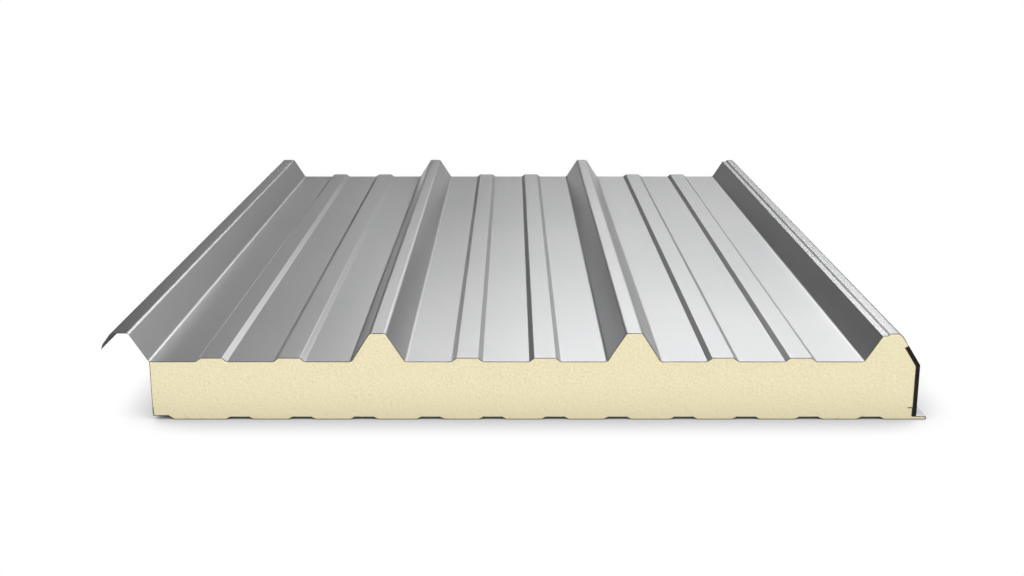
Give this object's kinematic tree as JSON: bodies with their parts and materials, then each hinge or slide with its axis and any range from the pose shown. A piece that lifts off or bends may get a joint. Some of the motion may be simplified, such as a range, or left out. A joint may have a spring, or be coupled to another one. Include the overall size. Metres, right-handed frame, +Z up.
{
  "type": "insulated sandwich panel",
  "caption": "Ribbed roof sandwich panel: steel outer sheet, rigid foam core and grooved steel liner, with an empty overlap rib on one long edge and a gasketed underlap rib and lip on the other.",
  "frame": {"origin": "middle of the panel's underside, at the centre of its bounding box", "axes": "+X across the ribs towards the underlap side, +Y along the ribs, +Z up towards the ribbed outer face"},
  "size_m": [1.0786, 1.37, 0.1185],
  "materials": {
    "outer_sheet": "satin metallic coil coating, silver grey",
    "foam_core": "matt rigid foam, pale cream yellow, fine cells on the cut ends",
    "inner_sheet": "satin coil coating, light grey",
    "side_gasket": "matt black soft foam strip",
    "side_film": "thin grey sealing film, slightly wrinkled, half matt"
  },
  "bodies": {
    "root": {"outer_sheet": "outer_sheet", "foam_core": "foam_core", "inner_sheet": "inner_sheet", "side_gasket": "side_gasket", "side_film": "side_film"}
  },
  "joints": []
}
